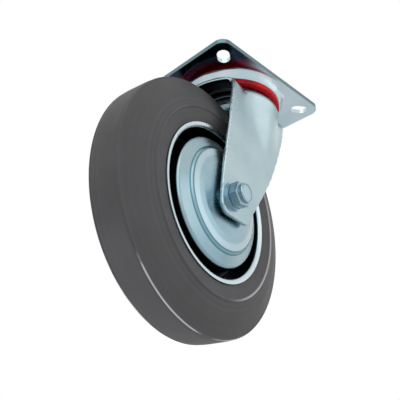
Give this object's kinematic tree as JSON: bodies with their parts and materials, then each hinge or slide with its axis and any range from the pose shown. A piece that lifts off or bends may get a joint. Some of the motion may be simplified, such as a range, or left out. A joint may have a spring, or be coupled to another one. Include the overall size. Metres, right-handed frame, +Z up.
{
  "type": "swivel castor",
  "caption": "Swivel castor with a slotted rectangular top plate, pressed steel fork, red swivel seal and grey rubber tyre on a pressed steel rim.",
  "frame": {"origin": "centre of the top plate's mounting face, on the swivel axis", "axes": "+Z up out of the mounting face along the swivel axis, +X along the plate's long side; at rest the wheel trails towards -X, turned 9.5 degrees about Z"},
  "size_m": [0.2222, 0.1067, 0.235],
  "materials": {
    "plate_zinc": "pressed sheet steel, bright bluish zinc plating",
    "fork_zinc": "pressed sheet steel, bright bluish zinc plating",
    "rim_zinc": "pressed sheet steel, bright bluish zinc plating",
    "hardware_zinc": "zinc plated steel",
    "bearing_steel": "ground and hardened steel",
    "bearing_plastic": "moulded black plastic",
    "seal_plastic": "moulded red plastic",
    "tyre_rubber": "grey moulded rubber"
  },
  "bodies": {
    "mounting_head": {"top_plate": "plate_zinc", "seal_ring": "seal_plastic", "lower_race": "hardware_zinc", "kingpin": "hardware_zinc", "kingpin_nut": "hardware_zinc"},
    "fork_body": {"fork": "fork_zinc", "axle_sleeve": "hardware_zinc", "axle_bolt": "hardware_zinc", "axle_washer": "hardware_zinc", "axle_nut": "hardware_zinc"},
    "wheel": {"tyre": "tyre_rubber", "rim_half_nut_side": "rim_zinc", "rim_half_head_side": "rim_zinc", "hub_tube": "hardware_zinc", "dust_washer_nut_side": "bearing_plastic", "dust_washer_head_side": "bearing_plastic"},
    "roller_set": {"roller_cage": "bearing_plastic", "rollers": "bearing_steel"},
    "upper_ball_row": {"upper_balls": "bearing_steel"},
    "lower_ball_row": {"lower_balls": "bearing_steel"}
  },
  "joints": [
    {"name": "swivel", "type": "hinge", "parent": "mounting_head", "child": "fork_body", "pos_m": [0, 0, 0], "axis": [0, 0, 1], "continuous": true},
    {"name": "wheel_spin", "type": "hinge", "parent": "fork_body", "child": "wheel", "pos_m": [-0.05425, -0.00908, -0.135], "axis": [0.165, -0.9863, 0], "continuous": true},
    {"name": "roller_set_spin", "type": "hinge", "parent": "fork_body", "child": "roller_set", "pos_m": [-0.05425, -0.00908, -0.135], "axis": [0.165, -0.9863, 0], "continuous": true},
    {"name": "upper_row_spin", "type": "hinge", "parent": "mounting_head", "child": "upper_ball_row", "pos_m": [0, 0, 0], "axis": [0, 0, 1], "continuous": true},
    {"name": "lower_row_spin", "type": "hinge", "parent": "mounting_head", "child": "lower_ball_row", "pos_m": [0, 0, 0], "axis": [0, 0, 1], "continuous": true}
  ],
  "couplings": [
    {"joint": "roller_set_spin", "follows": "wheel_spin", "ratio": 0.61538},
    {"joint": "upper_row_spin", "follows": "swivel", "ratio": 0.5},
    {"joint": "lower_row_spin", "follows": "swivel", "ratio": 0.5}
  ]
}
